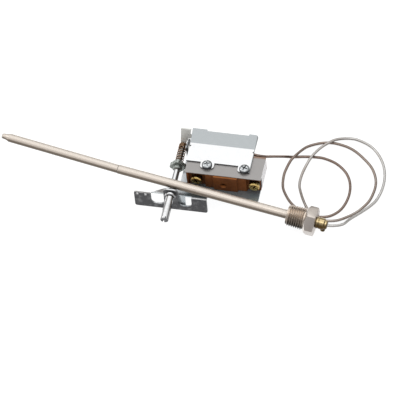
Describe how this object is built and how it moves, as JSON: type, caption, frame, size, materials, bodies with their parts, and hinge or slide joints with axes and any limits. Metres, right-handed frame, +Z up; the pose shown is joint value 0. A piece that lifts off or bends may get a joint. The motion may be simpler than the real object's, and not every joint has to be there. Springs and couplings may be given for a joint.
{
  "type": "capillary control",
  "caption": "Bulb and capillary temperature control: switch head on a folded bracket with a control shaft, and a long sensing bulb with a threaded pipe fitting on a coiled capillary.",
  "frame": {"origin": "middle of the flange's lower edge, where the bracket stands", "axes": "+X along the switch block, away from the control shaft; +Y from the panel back into the appliance, along the shaft; +Z up"},
  "size_m": [0.3672, 0.1409, 0.0505],
  "materials": {
    "base_zinc": "bright zinc plate",
    "bushing_nickel": "nickel plate",
    "shaft_steel": "turned and plated",
    "clip_steel": "dark spring steel",
    "hub_zinc": "die cast, dull",
    "spring_bronze": "bronze wire",
    "lever_nickel": "nickel plated sheet",
    "frame_zinc": "zinc plated sheet",
    "pin_steel": "turned",
    "rivet_steel": "plated",
    "block_phenolic": "moulded phenolic",
    "block_screw_steel": "zinc plate",
    "terminal_brass": "brass",
    "contact_silver": "silver contact",
    "blade_bronze": "spring bronze strip",
    "plunger_ceramic": "insulating pin",
    "calibration_brass": "brass",
    "switch_cover_grey": "grey plated sheet",
    "cover_zinc": "bright zinc plate",
    "cover_screw_zinc": "blue zinc plate",
    "cup_steel": "stainless",
    "disc_steel": "stainless",
    "button_steel": "turned",
    "ferrule_brass": "brazed brass",
    "capillary_copper": "tinned copper tube",
    "bulb_nickel": "nickel plated copper",
    "sleeve_nickel": "nickel plated copper",
    "fitting_nickel": "nickel plated brass",
    "gland_brass": "turned brass",
    "set_screw_brass": "brass",
    "packing_graphite": "packing ring"
  },
  "bodies": {
    "frame": {"base_bracket": "base_zinc", "shaft_bushing": "bushing_nickel", "rear_frame": "frame_zinc", "pivot_pin_left": "pin_steel", "pivot_pin_right": "pin_steel", "frame_rivet_left": "rivet_steel", "frame_rivet_right": "rivet_steel", "switch_block": "block_phenolic", "block_screw_left": "block_screw_steel", "block_screw_right": "block_screw_steel", "terminal_plate_left": "terminal_brass", "terminal_plate_right": "terminal_brass", "terminal_screw_left": "terminal_brass", "terminal_screw_right": "terminal_brass", "fixed_contact": "contact_silver", "calibration_screw": "calibration_brass", "switch_cover": "switch_cover_grey", "cover_plate": "cover_zinc", "cover_screw_left": "cover_screw_zinc", "cover_screw_right": "cover_screw_zinc", "diaphragm_cup": "cup_steel", "capillary_ferrule": "ferrule_brass", "capillary": "capillary_copper", "sensing_bulb": "bulb_nickel", "support_sleeve": "sleeve_nickel", "pipe_fitting": "fitting_nickel", "gland_nut": "gland_brass", "gland_set_screw": "set_screw_brass", "gland_packing": "packing_graphite"},
    "shaft": {"control_shaft": "shaft_steel", "shaft_clip": "clip_steel"},
    "hub": {"adjuster_hub": "hub_zinc", "return_spring": "spring_bronze"},
    "lever": {"range_lever": "lever_nickel"},
    "plunger": {"plunger": "plunger_ceramic"},
    "blade": {"contact_blade": "blade_bronze", "moving_contact": "contact_silver"},
    "diaphragm": {"diaphragm_disc": "disc_steel", "diaphragm_button": "button_steel"}
  },
  "joints": [
    {"name": "shaft_turn", "type": "hinge", "parent": "frame", "child": "shaft", "pos_m": [0.0007, 0, 0.0216], "axis": [0, 1, 0], "range_deg": [0, 300]},
    {"name": "hub_slide", "type": "slide", "parent": "frame", "child": "hub", "axis": [0, 1, 0], "range_m": [0, 0.00167], "deforming": ["return_spring"]},
    {"name": "lever_rock", "type": "hinge", "parent": "frame", "child": "lever", "pos_m": [0, 0.0485, 0.0348], "axis": [1, 0, 0], "range_deg": [-5, 0], "stiffness_Nm_per_rad": 0.5, "deforming": ["return_spring"]},
    {"name": "plunger_slide", "type": "slide", "parent": "frame", "child": "plunger", "axis": [0, -1, 0], "range_m": [0, 0.00044]},
    {"name": "blade_bend", "type": "hinge", "parent": "frame", "child": "blade", "pos_m": [0.0302, 0.02985, 0.03], "axis": [0, 0, 1], "range_deg": [-1.5, 0]},
    {"name": "diaphragm_push", "type": "slide", "parent": "frame", "child": "diaphragm", "axis": [0, 0, -1], "range_m": [0, 0.00074]}
  ],
  "couplings": [
    {"joint": "shaft_turn", "follows": "hub_slide", "rad_per_m": 3144},
    {"joint": "lever_rock", "follows": "diaphragm_push", "rad_per_m": -117.6},
    {"joint": "plunger_slide", "follows": "diaphragm_push", "ratio": 0.588},
    {"joint": "blade_bend", "follows": "diaphragm_push", "rad_per_m": -34.6}
  ]
}
